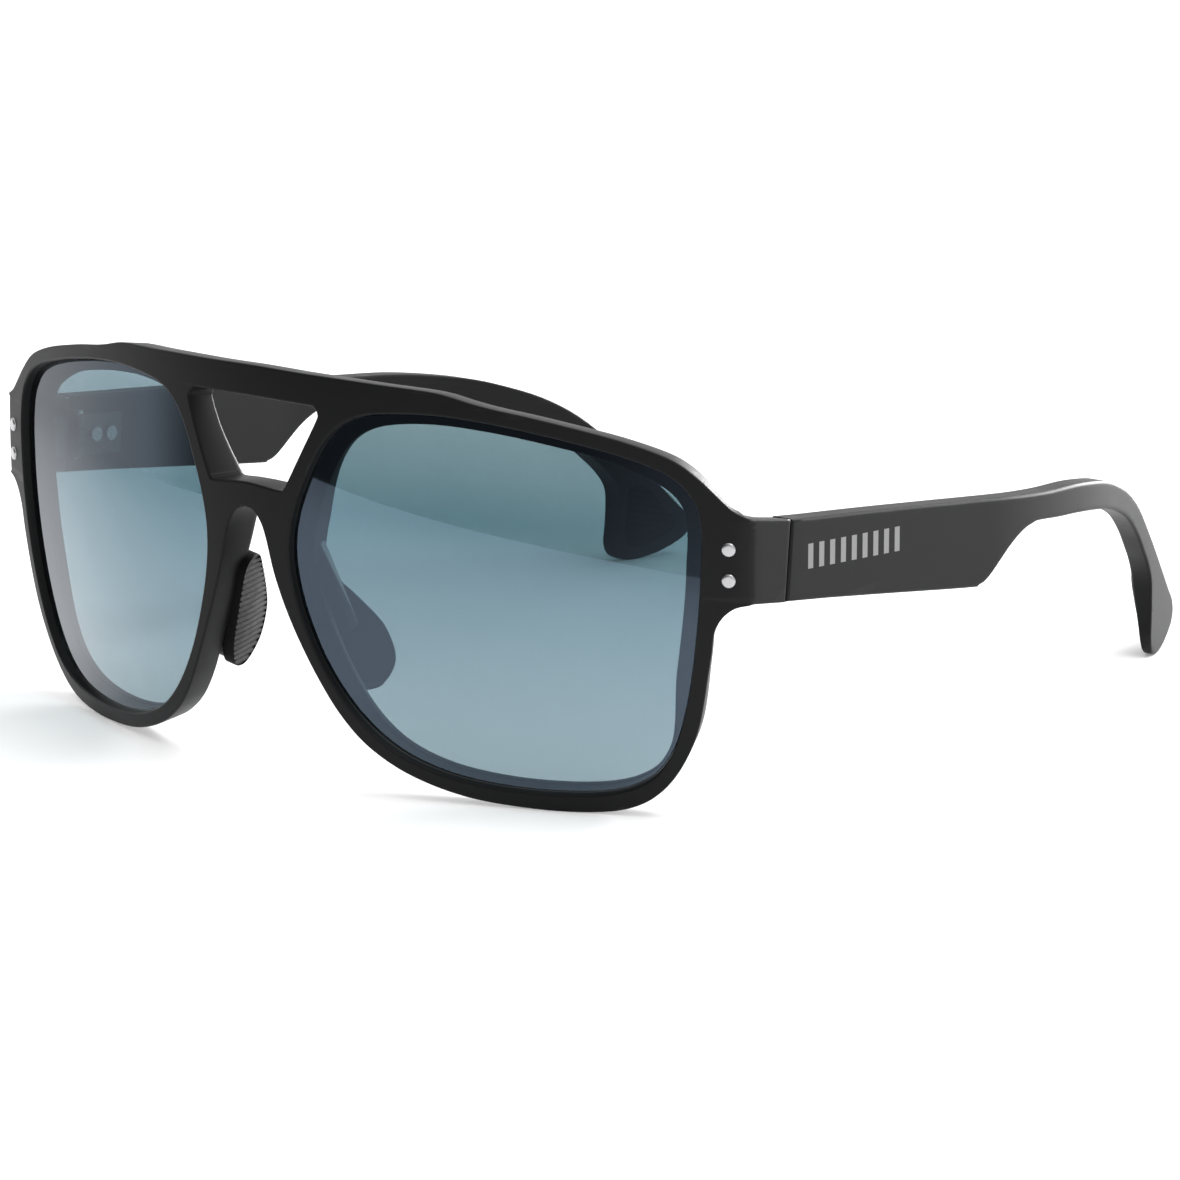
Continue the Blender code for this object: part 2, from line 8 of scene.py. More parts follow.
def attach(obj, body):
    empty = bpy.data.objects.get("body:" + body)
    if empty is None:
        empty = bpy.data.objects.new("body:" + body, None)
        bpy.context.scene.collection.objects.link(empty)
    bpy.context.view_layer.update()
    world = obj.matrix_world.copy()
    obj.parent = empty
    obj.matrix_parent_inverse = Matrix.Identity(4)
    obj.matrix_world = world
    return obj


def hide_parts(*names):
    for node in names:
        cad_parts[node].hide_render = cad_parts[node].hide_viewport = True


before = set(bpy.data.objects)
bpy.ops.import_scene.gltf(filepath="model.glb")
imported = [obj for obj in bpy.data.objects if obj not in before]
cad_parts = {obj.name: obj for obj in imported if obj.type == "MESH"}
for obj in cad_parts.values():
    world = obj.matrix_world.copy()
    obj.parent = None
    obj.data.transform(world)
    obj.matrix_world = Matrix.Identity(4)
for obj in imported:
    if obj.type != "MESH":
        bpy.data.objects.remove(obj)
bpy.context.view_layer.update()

# Moulded front: one nylon moulding that holds both lenses and turns back at the sides to the hinges.
# It is laid out flat in millimetres, X to the wearer's left, Z up and depth to the rear, and then
# wrapped to the face. The tool leaves a fine matte grain on it, and its edges are painted lighter, partly as
# handling wear and partly as a painted highlight.
RIM_DEPTH = 4.4
FRONT_ROUND = 0.32
SEAT_BACK = 3.4
LIP_FOOT, LIP_BROW, LIP_NOSE, LIP_SIDE = 0.15, 1.6, 2.0, 2.3
SIDE_FACE = 70.0
WALL = 3.8
CORNER_RADIUS = 1.0
MITRE_RUN = 7.0
MITRE_SHIFT = 1.25
HINGE_Y = 33.52
HINGE_Z = 1.0
HINGE_GAP = 0.35
HINGE_TILT = math.radians(6.8)
REST_TIP = math.radians(1.40699)
REST_SHIFT = Vector((0.0, -78.27018, 34.34423))
BROW = (
    (0.0, 25.2), (9.0, 25.0), (15.5, 24.8), (21.5, 24.5), (27.0, 24.2), (30.5, 23.8), (34.6, 22.8),
    (38.0, 22.1), (42.5, 21.3), (48.5, 20.0), (53.7, 18.7), (58.5, 17.1), (61.3, 15.7), (64.0, 13.5),
    (66.2, 11.3), (68.1, 9.5), (70.2, 8.5), (73.0, 7.9),
)
UNDERSIDE = (
    (73.0, -3.9), (70.6, -3.65), (68.6, -4.0), (67.2, -5.0), (66.2, -6.4), (65.6, -8.1), (65.3, -10.3),
    (64.6, -14.0), (63.8, -18.0), (62.9, -21.5), (61.6, -24.8), (59.5, -28.5), (57.0, -31.4),
    (54.0, -33.4), (50.0, -34.5), (43.5, -34.8), (36.0, -34.3), (31.0, -33.5), (26.0, -32.0),
    (21.5, -29.9), (17.3, -26.8), (14.0, -22.8), (11.3, -18.2), (8.7, -13.0), (6.6, -8.2),
    (4.9, -3.4), (3.8, 0.8), (2.9, 3.2), (1.6, 4.8), (0.0, 5.3),
)
APERTURE = (
    (64.2, 1.5), (64.3, 5.5), (63.6, 9.8), (61.2, 13.1), (57.6, 15.2), (52.5, 16.9), (45.5, 18.6),
    (38.0, 20.0), (30.5, 20.8), (24.0, 20.7), (19.0, 20.0), (15.6, 18.3), (13.0, 15.4), (10.7, 11.0),
    (8.8, 6.2), (7.8, 1.5), (8.0, -3.5), (9.4, -9.3), (12.2, -16.2), (16.4, -22.6), (21.6, -27.4),
    (27.8, -30.3), (35.0, -31.8), (43.3, -32.3), (50.8, -31.7), (55.8, -29.6), (58.9, -26.0),
    (60.8, -21.5), (62.4, -15.0), (63.4, -8.5), (64.0, -2.8),
)
WINDOW = (
    (0.0, 20.9), (10.0, 20.7), (11.4, 20.4), (12.0, 19.6), (11.8, 18.6), (9.9, 14.6), (7.5, 9.8),
    (6.9, 8.8), (6.0, 8.4), (0.0, 8.9),
)
WRAP_SQUARE, WRAP_FOURTH, WRAP_HEIGHT = 0.00616, -2.36e-7, 0.00335
NOSE_DEPTH, NOSE_AT, NOSE_SPREAD = 2.8, (8.5, 4.0), (7.0, 8.5)
ARM_ON_RIM = ((7.2, 1.5), (8.8, 1.5), (8.2, -7.5), (9.4, -7.5), (11.0, -12.5))
ARM_THICKNESS = 2.2
PAD_GAP = 0.3
PAD_BACKING = 1.5
PAD_TOP = Vector((5.9, 5.6, -3.6))
PAD_BOTTOM = Vector((14.2, 12.2, -22.0))
PAD_LEAN = Vector((0.3, 0.95, 0.0))
PAD_OUTLINE = (
    (-0.6, 0.0), (0.6, -2.0), (4.0, -2.8), (9.0, -3.6), (13.5, -4.0), (17.5, -3.2), (19.7, -1.0),
    (20.0, 1.6), (18.0, 4.6), (13.5, 5.8), (9.0, 5.0), (4.0, 3.5), (0.6, 2.2),
)
CHARCOAL = (0.0055, 0.0056, 0.0059, 1.0)
# Lighter charcoal for worn edges and painted edge highlights, also used for the random tone patches.
CHARCOAL_WORN_AND_HIGHLIT = (0.0115, 0.0116, 0.012, 1.0)
MOULD_SHEEN = 0.13
GRAIN_SCALE = 5200.0
PATCH_SCALE = 90.0

settle = Matrix.Translation(REST_SHIFT) @ Matrix.Rotation(REST_TIP, 4, "X")
to_row = Matrix.Scale(0.001, 4) @ settle


def smooth_loop(points, steps=4, corners=()):
    """The closed outline through the points, rounded everywhere but at the numbered corners."""
    count = len(points)
    out = []
    for index in range(count):
        a, b, c, d = (Vector(points[(index + shift) % count]) for shift in (-1, 0, 1, 2))
        if index in corners:
            a = 2 * b - c
        if (index + 1) % count in corners:
            d = 2 * c - b
        for step in range(steps):
            t = step / steps
            across = 2 * b + (c - a) * t + (2 * a - 5 * b + 4 * c - d) * t * t
            out.append((across + (3 * b - a - 3 * c + d) * t**3) / 2)
    return out


def both_halves(points):
    return list(points) + [(-x, z) for x, z in reversed(points) if x > 0]


def offset_loop(points, distance):
    area = sum(a[0] * b[1] - a[1] * b[0] for a, b in zip(points, points[1:] + points[:1]))
    turn = distance if area > 0 else -distance
    out = []
    for index, point in enumerate(points):
        ahead, behind = Vector(points[(index + 1) % len(points)]), Vector(points[index - 1])
        along = (ahead - behind).normalized()
        out.append(Vector((point[0] + along[1] * turn, point[1] - along[0] * turn)))
    return out


def edit(thing, change):
    work = bmesh.new()
    work.from_mesh(thing.data)
    change(work)
    work.to_mesh(thing.data)
    work.free()
    return thing


def linked(name, data):
    made = bpy.data.objects.new(name, data)
    bpy.context.scene.collection.objects.link(made)
    return made


def applied(thing):
    """The object's mesh with its modifiers worked in."""
    graph = bpy.context.evaluated_depsgraph_get()
    mesh = bpy.data.meshes.new_from_object(thing.evaluated_get(graph), depsgraph=graph)
    name = thing.name
    bpy.data.objects.remove(thing)
    return linked(name, mesh)


def plate(name, loops, low, high, edge, edge_steps=3):
    """A flat plate with rounded edges, with the outlines' shape in its first two axes."""
    curve = bpy.data.curves.new(name, "CURVE")
    curve.dimensions = "2D"
    curve.fill_mode = "BOTH"
    curve.extrude = (high - low) / 2 - edge
    curve.bevel_depth = edge
    curve.bevel_resolution = edge_steps
    curve.offset = -edge
    for loop in loops:
        spline = curve.splines.new("POLY")
        spline.points.add(len(loop) - 1)
        for point, spot in zip(spline.points, loop):
            point.co = (spot[0], spot[1], 0.0, 1.0)
        spline.use_cyclic_u = True
    made = applied(linked(name, curve))

    def tidy(work):
        bmesh.ops.remove_doubles(work, verts=work.verts, dist=1e-4)
        bmesh.ops.translate(work, verts=work.verts, vec=(0, 0, (high + low) / 2))
        bmesh.ops.recalc_face_normals(work, faces=work.faces)

    return edit(made, tidy)


def sliced(thing, normal, low, high, step):
    """Adds even cuts square to a direction, so that the mesh can be bent or ribbed."""
    normal = Vector(normal)
    count = int((high - low) / step)

    def cut(work):
        for index in range(count + 1):
            everything = work.verts[:] + work.edges[:] + work.faces[:]
            spot = normal * (low + index * step + 0.0137)
            bmesh.ops.bisect_plane(work, geom=everything, plane_co=spot, plane_no=normal, dist=1e-5)

    return edit(thing, cut)


def reshaped(thing, move):
    edit(thing, lambda work: bmesh.ops.triangulate(work, faces=work.faces))
    for vertex in thing.data.vertices:
        vertex.co = move(vertex.co)
    return thing


def mirrored(thing, name):
    made = linked(name, thing.data.copy())
    made.data.transform(Matrix.Scale(-1, 4, (1, 0, 0)))
    made.data.flip_normals()
    return made


def joined(target, others):
    """One object holding all the meshes."""
    work = bmesh.new()
    for thing in [target] + others:
        work.from_mesh(thing.data)
    work.to_mesh(target.data)
    work.free()
    for thing in others:
        bpy.data.objects.remove(thing)
    return target


def smoothed(thing, angle=38.0):
    thing.data.shade_smooth()
    thing.data.set_sharp_from_angle(angle=math.radians(angle))
    return thing


def shaded(thing, angle=38.0):
    """Smooth shading that keeps the flats flat and the creases sharp."""
    smoothed(thing, angle)
    weigh = thing.modifiers.new("even_shading", "WEIGHTED_NORMAL")
    weigh.keep_sharp = True
    return thing


def faired(thing, reach=0.985):
    """Gives the wrapped faces the true direction of the curve, so that no facet shows in their gloss."""
    turned = [Vector((0.0, 0.0, 0.0)) for _vertex in thing.data.vertices]
    for face in thing.data.polygons:
        x, z = face.center.x, face.center.z
        along = face.normal.dot(inward(x, z))
        if abs(along) < reach or abs(x) > turn_x - 0.6:
            continue
        for index in face.vertices:
            spot = thing.data.vertices[index].co
            turned[index] = inward(spot.x, spot.z) * math.copysign(1.0, along)
    thing.data.normals_split_custom_set_from_vertices(turned)
    return thing


def settled(thing, body, slot, looks, *nodes):
    """Takes a finished piece to where it rests, gives it its body and finish, and hides the CAD nodes it
    stands in for.
    """
    thing.data.transform(to_row)
    thing.data.name = thing.name
    for look in looks:
        thing.data.materials.append(look)
    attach(thing, body)
    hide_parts(*nodes)
    return thing


def wrap_depth(x, z):
    return WRAP_SQUARE * x * x + WRAP_FOURTH * x**4 + WRAP_HEIGHT * z * z


def inward(x, z):
    step = 0.1
    slope_x = (wrap_depth(x + step, z) - wrap_depth(x - step, z)) / (2 * step)
    slope_z = (wrap_depth(x, z + step) - wrap_depth(x, z - step)) / (2 * step)
    return Vector((-slope_x, 1.0, -slope_z)).normalized()


def on_face(x, z):
    return Vector((x, wrap_depth(x, z), z))


def nose_depth(x, z):
    across = (abs(x) - NOSE_AT[0]) / NOSE_SPREAD[0]
    up = (z - NOSE_AT[1]) / NOSE_SPREAD[1]
    return NOSE_DEPTH * math.exp(-across * across - up * up)


def eased(value):
    value = min(max(value, 0.0), 1.0)
    return value * value * (3 - 2 * value)


turn_start = math.atan(2 * WRAP_SQUARE * SIDE_FACE + 4 * WRAP_FOURTH * SIDE_FACE**3)
turn_x = SIDE_FACE - CORNER_RADIUS * (1 - math.sin(turn_start))
turn_length = CORNER_RADIUS * (math.pi / 2 - turn_start)
side_start = turn_x + turn_length
side_y = wrap_depth(turn_x, 0.0) + CORNER_RADIUS * math.cos(turn_start)
side_length = HINGE_Y - HINGE_GAP / 2 - side_y
side_end = side_start + side_length


def outer_and_inner(x, z):
    """The points of the front's outer and inner surfaces at a place on the flat, on the left."""
    shift = MITRE_SHIFT * eased((x - turn_x + MITRE_RUN) / MITRE_RUN)
    inner_at = min(x, turn_x) - shift
    inner = on_face(inner_at, z) + inward(inner_at, z) * RIM_DEPTH
    if x <= turn_x:
        return on_face(x, z), inner
    edge = on_face(turn_x, z)
    turn = min(turn_start + (x - turn_x) / CORNER_RADIUS, math.pi / 2)
    across = CORNER_RADIUS * (math.sin(turn) - math.sin(turn_start))
    back = CORNER_RADIUS * (math.cos(turn_start) - math.cos(turn))
    outer = edge + Vector((across, back, 0.0))
    inner.x = SIDE_FACE - WALL
    if x <= side_start:
        return outer, inner
    share = (x - side_start) / side_length
    end_y = HINGE_Y - HINGE_GAP / 2 + math.tan(HINGE_TILT) * (z - HINGE_Z)
    start_y, inner_y = outer.y, inner.y
    outer.y = start_y + share * (end_y - start_y)
    inner.y = outer.y + (inner_y - start_y) * (1 - eased(share * 1.25)) * (1 - share)
    return outer, inner


def wrapped(point):
    """A point of the flat front, whose third axis runs forwards, taken to its place."""
    x, z, depth = abs(point[0]), point[1], -point[2]
    outer, inner = outer_and_inner(x, z)
    place = outer + (inner - outer) * (depth / RIM_DEPTH)
    behind = max(0.0, depth - SEAT_BACK) / (RIM_DEPTH - SEAT_BACK)
    place += inward(min(x, turn_x), z) * (behind * nose_depth(x, z))
    if point[0] < 0:
        place.x = -place.x
    return place


def follow_wrap(thing, across=1.6, up=2.4):
    sliced(thing, (1, 0, 0), -side_end, side_end, across)
    sliced(thing, (0, 1, 0), -36.0, 26.0, up)
    return reshaped(thing, wrapped)


half = list(BROW) + [(side_end, 6.75), (side_end, -4.7)] + list(UNDERSIDE)
ends = {len(BROW), len(BROW) + 1}
outline = both_halves(half)
mirrored_ends = {len(outline) - index for index in ends}
outline = smooth_loop(outline, 5, ends | mirrored_ends)
aperture = smooth_loop(APERTURE, 5)
other_aperture = [Vector((-x, z)) for x, z in aperture]
window = smooth_loop(both_halves(WINDOW), 4)
front = plate("moulded_front", [outline, aperture, other_aperture, window], -RIM_DEPTH, 0.0, FRONT_ROUND)
follow_wrap(front)


def lip_width(point):
    """How far the rear lip stands in past the aperture: widest at the sides, almost nothing below."""
    x, z = abs(point[0]), point[1]
    width = LIP_BROW + (LIP_NOSE - LIP_BROW) * eased((26.0 - x) / 10.0)
    width += (LIP_SIDE - LIP_BROW) * eased((x - 50.0) / 10.0)
    return LIP_FOOT + (width - LIP_FOOT) * eased((z + 31.0) / 17.0)


lips = []
for loop in (aperture, other_aperture):
    edges = [offset_loop(loop, -lip_width(point))[index] for index, point in enumerate(loop)]
    rings = [offset_loop(loop, 0.4), edges]
    lips.append(follow_wrap(plate("lip", rings, -RIM_DEPTH, -SEAT_BACK, 0.2, 2), 2.4, 4.0))

pad_along = (PAD_BOTTOM - PAD_TOP).normalized()
pad_across = (PAD_LEAN - pad_along * PAD_LEAN.dot(pad_along)).normalized()
pad_out = pad_across.cross(pad_along)
to_pad = Matrix.Translation(PAD_TOP) @ Matrix((pad_along, pad_across, -pad_out)).transposed().to_4x4()


def in_pad(along, across, depth):
    return PAD_TOP + pad_along * along + pad_across * across - pad_out * depth


pad_loop = smooth_loop(PAD_OUTLINE, 5)
backing_loop = offset_loop(pad_loop, -0.5)
backing = plate("backing", [backing_loop], PAD_GAP, PAD_GAP + PAD_BACKING, 0.5)
backing.data.transform(to_pad)
corners = [
    in_pad(along, across, PAD_GAP + deep)
    for along in (1.0, 11.0)
    for across in (-1.2, 1.4)
    for deep in (0.15, ARM_THICKNESS - 0.1)
]
for x, z in ARM_ON_RIM:
    root = wrap_depth(x, z) + SEAT_BACK + PAD_GAP
    corners += [Vector((x, root, z)), Vector((x, root + ARM_THICKNESS, z))]
arm = linked("arm", bpy.data.meshes.new("arm"))


def stretch_over(work):
    spots = [work.verts.new(corner) for corner in corners]
    made = bmesh.ops.convex_hull(work, input=spots)
    bmesh.ops.delete(work, geom=made["geom_interior"], context="VERTS")
    bmesh.ops.dissolve_limit(work, angle_limit=0.02, verts=work.verts, edges=work.edges)
    bmesh.ops.recalc_face_normals(work, faces=work.faces)


edit(arm, stretch_over)
round_over = arm.modifiers.new("rounding", "BEVEL")
round_over.width = 0.7
round_over.segments = 4
round_over.limit_method = "ANGLE"
round_over.angle_limit = math.radians(15)
arm = applied(arm)
carriers = [backing, arm, mirrored(backing, "other_backing"), mirrored(arm, "other_arm")]
joined(front, lips + carriers)


class Wire:
    """A shader socket that can be added to, scaled by or compared with numbers and other sockets."""

    def __init__(self, finish, socket):
        self.finish = finish
        self.socket = socket

    def maths(self, kind, first, second=0.0, third=0.0):
        return self.finish.add("ShaderNodeMath", {"operation": kind}, {0: first, 1: second, 2: third}, 0)

    def __add__(self, other):
        return self.maths("ADD", self, other)

    def __mul__(self, other):
        return self.maths("MULTIPLY", self, other)

    def __sub__(self, other):
        return self.maths("SUBTRACT", self, other)

    def __rsub__(self, other):
        return self.maths("SUBTRACT", other, self)

    def __gt__(self, other):
        return self.maths("GREATER_THAN", self, other)

    def __lt__(self, other):
        return self.maths("LESS_THAN", self, other)

    def __abs__(self):
        return self.maths("ABSOLUTE", self)

    def fraction(self):
        return self.maths("FRACT", self)

    def held(self):
        """The value kept between 0 and 1."""
        made = self.maths("ADD", self)
        made.socket.node.use_clamp = True
        return made

    __radd__ = __add__
    __rmul__ = __mul__


class Finish:
    """A named material and the nodes that make its surface."""

    def __init__(self, name):
        self.material = bpy.data.materials.new(name)
        self.material.use_nodes = True
        self.tree = self.material.node_tree
        self.tree.nodes.clear()

    def add(self, kind, settings, values, output=0):
        made = self.tree.nodes.new(kind)
        stops = settings.pop("stops", None)
        for name, value in settings.items():
            setattr(made, name, value)
        if stops:
            ramp = made.color_ramp.elements
            for place, shade in stops[1:-1]:
                ramp.new(place).color = shade
            ramp[0].position, ramp[0].color = stops[0]
            ramp[-1].position, ramp[-1].color = stops[-1]
        for name, value in values.items():
            socket = self.named(made.inputs, name)
            if isinstance(value, Wire):
                self.tree.links.new(value.socket, socket)
            else:
                socket.default_value = value
        return Wire(self, self.named(made.outputs, output))

    def named(self, sockets, name):
        if isinstance(name, int):
            return sockets[name]
        return next(s for s in sockets if name in (s.identifier, s.name) and s.enabled)

    def spot(self):
        """Where the point lies on the piece at rest, in metres."""
        return self.add("ShaderNodeTexCoord", {}, {}, "Object")

    def axes(self):
        """The three parts of the place, in millimetres."""
        split = self.add("ShaderNodeSeparateXYZ", {}, {0: self.spot()})
        return [Wire(self, out) * 1000.0 for out in split.socket.node.outputs]

    def noise(self, scale, detail=2.0, stretch=None):
        place = self.spot()
        if stretch:
            place = self.add("ShaderNodeVectorMath", {"operation": "MULTIPLY"}, {0: place, 1: stretch})
        return self.add("ShaderNodeTexNoise", {}, {"Vector": place, "Scale": scale, "Detail": detail}, 0)

    def blend(self, mask, first, second):
        values = {"Factor_Float": mask, "A_Color": first, "B_Color": second}
        return self.add("ShaderNodeMix", {"data_type": "RGBA"}, values, "Result_Color")

    def bump(self, height, distance, strength=1.0):
        values = {"Height": height, "Distance": distance, "Strength": strength}
        return self.add("ShaderNodeBump", {}, values)

    def surface(self, values):
        return self.add("ShaderNodeBsdfPrincipled", {}, values)

    def mix(self, mask, first, second):
        return self.add("ShaderNodeMixShader", {}, {0: mask, 1: first, 2: second})

    def done(self, shader):
        out = self.tree.nodes.new("ShaderNodeOutputMaterial")
        self.tree.links.new(shader.socket, out.inputs["Surface"])
        return self.material


def matte_moulding(name, print_mask=None, print_colour=None):
    """Charcoal nylon with a fine tool grain; its edges are painted lighter, as handling wear and as a painted
    highlight.
    """
    finish = Finish(name)
    grain = finish.noise(GRAIN_SCALE, 3.0)
    patches = finish.noise(PATCH_SCALE, 3.0)
    edges = finish.add("ShaderNodeNewGeometry", {}, {}, "Pointiness")
    # Pointiness paints the edges lighter: partly handling wear, partly a painted highlight.
    rubbed_and_highlit = ((edges - 0.515) * 14.0).held()
    shade = finish.blend((rubbed_and_highlit * 0.6 + patches * 0.25).held(), CHARCOAL, CHARCOAL_WORN_AND_HIGHLIT)
    rough = 0.43 + (patches - 0.5) * 0.1 + (grain - 0.5) * 0.06 - rubbed_and_highlit * 0.06
    if print_mask:
        mask = print_mask(finish)
        shade = finish.blend(mask, shade, print_colour)
        rough = rough + mask * 0.05
    normal = finish.bump(grain, 0.000012, 0.5)
    look = {"Base Color": shade, "Roughness": rough, "Normal": normal, "Specular IOR Level": MOULD_SHEEN}
    return finish.done(finish.surface(look))


front_look = matte_moulding("matte_moulded_front")
faired(smoothed(front))
settled(front, "front", "frame_plastic", [front_look], "front_frame")

# Lenses: two curved polycarbonate lenses snapped into the grooves of the front. The see-through
# tint is palest at the foot and deepest across a middle band, and only the outer face has the thin
# blue mirror coat. The tint fades again towards the brow.
LENS_FRONT = 1.2
LENS_THICKNESS = 2.0
LENS_EASE = 0.05
LENS_ROUND = 0.12
TINT_DEEP = (0.082, 0.155, 0.182, 1.0)
TINT_PALE = (0.235, 0.31, 0.33, 1.0)
REAR_TINT = (0.97, 0.98, 0.98, 1.0)
MIRROR_BLUE = (0.21, 0.29, 0.40, 1.0)
MIRROR_SHARE = 0.19
DEEPEST = 41.0
COAT_TILT = 0.0646
COAT_TWIST = 1.09
FAR_TILT = 0.06
FAR_TWIST = 3.2
PALE_BELOW, PALE_ABOVE = 34.0, 22.0
COAT_LIMIT = -0.4
HARD_COAT_GLOSS = 0.015

coat = Finish("lens_mirror_coat")
x_mm, y_mm, z_mm = coat.axes()
# The transmitted colour is darker across a band around DEEPEST and paler above and below it.
below = ((DEEPEST - z_mm) * (1 / PALE_BELOW)).held()
above = ((z_mm - DEEPEST) * (1 / PALE_ABOVE)).held()
faint = coat.noise(60.0, 2.0)
paleness = (below * 0.95 + above * 0.8 + (faint - 0.5) * 0.12).held()
deep = coat.add("ShaderNodeBsdfTransparent", {}, {"Color": TINT_DEEP})
pale = coat.add("ShaderNodeBsdfTransparent", {}, {"Color": TINT_PALE})
tint = coat.mix(paleness, deep, pale)
face_normal = coat.add("ShaderNodeNewGeometry", {}, {}, "Normal")
on_right = x_mm < 0.0
lean = COAT_TILT + x_mm * (COAT_TWIST / 1000.0) + on_right * (FAR_TILT - x_mm * (FAR_TWIST / 1000.0))
tilt = coat.add("ShaderNodeCombineXYZ", {}, {"Z": lean})
leaning = coat.add("ShaderNodeVectorMath", {"operation": "ADD"}, {0: face_normal, 1: tilt})
leaning = coat.add("ShaderNodeVectorMath", {"operation": "NORMALIZE"}, {0: leaning})
smears = coat.noise(140.0, 4.0)
mirror = coat.surface(
    {
        "Base Color": MIRROR_BLUE,
        "Metallic": 1.0,
        "Roughness": 0.02 + smears * 0.01,
        "Normal": leaning,
    }
)
hard_coat = coat.add("ShaderNodeBsdfGlossy", {}, {"Roughness": 0.04, "Normal": leaning})
facing = coat.add("ShaderNodeLayerWeight", {}, {"Blend": 0.5}, "Facing")
grazing = HARD_COAT_GLOSS + facing.maths("POWER", facing, 5.0) * (1.0 - HARD_COAT_GLOSS)
coat_look = coat.done(coat.mix(grazing, coat.mix(MIRROR_SHARE, tint, mirror), hard_coat))

clear = Finish("lens_clear_back")
haze = clear.noise(160.0, 3.0)
seen_through = clear.add("ShaderNodeBsdfTransparent", {}, {"Color": REAR_TINT})
gloss = clear.surface({"Base Color": (0.02, 0.03, 0.035, 1.0), "Roughness": 0.05 + haze * 0.04})
clear_look = clear.done(clear.mix(0.03 + haze * 0.01, seen_through, gloss))

for side, loop, body_word in ((1, aperture, "left"), (-1, other_aperture, "right")):
    rim_loop = offset_loop(loop, -LENS_EASE)
    back = -LENS_FRONT - LENS_THICKNESS
    lens = plate(f"tinted_lens_{body_word}", [rim_loop], back, -LENS_FRONT, LENS_ROUND, 1)
    follow_wrap(lens, 1.6, 1.6)
    lens.data.update()
    lens.data.polygons.foreach_set(
        "material_index",
        [
            0 if face.normal.dot(inward(face.center.x, face.center.z)) < COAT_LIMIT else 1
            for face in lens.data.polygons
        ],
    )
    faired(smoothed(lens, 60.0))
    settled(lens, "front", "lens", [coat_look, clear_look], f"lens_{body_word}")

# Nose pads: soft black rubber pads moulded on to the carriers of the front. The face that meets the
# nose has fine slanting ribs, and the pad is a little crowned between its edges. The rib crests are painted
# lighter and the valleys darker, as painted highlight and painted shade.
PAD_THICKNESS = 1.8
RIB_PITCH = 0.95
RIB_HEIGHT = 0.5
RIB_SLANT = math.radians(-24)
PAD_CROWN = 0.35
RUBBER = (0.0015, 0.0015, 0.0016, 1.0)
RUBBER_SHEEN = 0.08
# Lighter rubber for painted highlights on the rib crests, also used for patchy bloom on the rubber.
RUBBER_LIT_CRESTS_AND_BLOOM = (0.012, 0.012, 0.0122, 1.0)

rubber = Finish("soft_black_rubber")
bloom = rubber.noise(700.0, 3.0)
pores = rubber.noise(9000.0, 2.0)
crests = rubber.add("ShaderNodeNewGeometry", {}, {}, "Pointiness")
# Painted light: high pointiness on the rib crests paints a highlight and the valleys keep a painted shade;
# the bloom noise adds real patchy bloom.
lit_crests_and_bloom = ((crests - 0.58) * 6.0 + (bloom - 0.5) * 0.3).held()
rubber_look = rubber.done(
    rubber.surface(
        {
            "Base Color": rubber.blend(lit_crests_and_bloom, RUBBER, RUBBER_LIT_CRESTS_AND_BLOOM),
            "Roughness": 0.62 + (bloom - 0.5) * 0.16,
            "Normal": rubber.bump(pores, 0.00001, 0.5),
            "Specular IOR Level": RUBBER_SHEEN,
        }
    )
)


def ribbed(thing, direction, span, pitch, height, face_at, crown=None):
    """Raises even ribs on the face at a given depth. Each rib rises slowly and drops sharply."""
    direction = Vector(direction).normalized()
    aside = Vector((-direction.y, direction.x, 0.0))
    sliced(thing, direction, -span, span, pitch / 6)
    sliced(thing, aside, -span, span, pitch)

    def raised(point):
        if abs(point.z - face_at) > 1e-3:
            return point
        share = (point.dot(direction) / pitch) % 1.0
        rise = share / 0.72 if share < 0.72 else (1.0 - share) / 0.28
        rise = height * (eased(rise) - 1.0)
        if crown:
            rise += crown(point)
        return point + Vector((0.0, 0.0, math.copysign(1.0, face_at) * rise))

    return reshaped(thing, raised)


def pad_crown(point):
    along = min(max(point.x / 20.0, 0.0), 1.0)
    return PAD_CROWN * math.sin(math.pi * along) * max(0.0, 1.0 - ((point.y - 0.8) / 5.2) ** 2)


pad = plate("soft_pad_left", [pad_loop], -PAD_THICKNESS, 0.0, 0.15, 2)
rib_direction = (math.cos(RIB_SLANT), math.sin(RIB_SLANT), 0.0)
ribbed(pad, rib_direction, 24.0, RIB_PITCH, RIB_HEIGHT, -PAD_THICKNESS, pad_crown)
pad.data.transform(to_pad)
other_pad = mirrored(pad, "soft_pad_right")
for thing, body_word in ((pad, "left"), (other_pad, "right")):
    shaded(thing, 50.0)
    settled(thing, "front", "rubber", [rubber_look], f"nose_pad_{body_word}")

# Rivets: two small steel rivets at each side of the front, pressed into blind holes. They are the
# turned heads that show, slightly domed, with a fine brushed face and a darker rounded rim.
RIVET_RADIUS = 1.05
RIVET_PROUD = 0.35
RIVET_X = 67.6
RIVET_LEVELS = (("upper", 4.2), ("lower", -0.15))
RIVET_PROFILE = (
    (0.0, 0.31), (0.45, 0.305), (0.76, 0.29), (0.88, 0.24), (0.97, 0.13), (1.02, 0.0), (1.05, -0.2),
    (1.05, -2.4), (0.9, -2.6), (0.0, -2.6),
)
STEEL_BRIGHT = (0.46, 0.46, 0.47, 1.0)
STEEL_DULL = (0.40, 0.40, 0.41, 1.0)


def steel(name, stretch, bright=STEEL_BRIGHT, dull=STEEL_DULL):
    """Satin steel with fine drawn lines in one direction."""
    finish = Finish(name)
    lines = finish.noise(2600.0, 4.0, stretch)
    stains = finish.noise(500.0, 3.0)
    shade = finish.blend((stains * 1.4 - 0.3).held(), bright, dull)
    rough = 0.27 + (lines - 0.5) * 0.14 + (stains - 0.5) * 0.08
    normal = finish.bump(lines, 0.000006, 0.6)
    values = {"Base Color": shade, "Metallic": 1.0, "Roughness": rough, "Normal": normal}
    return finish.done(finish.surface(values))


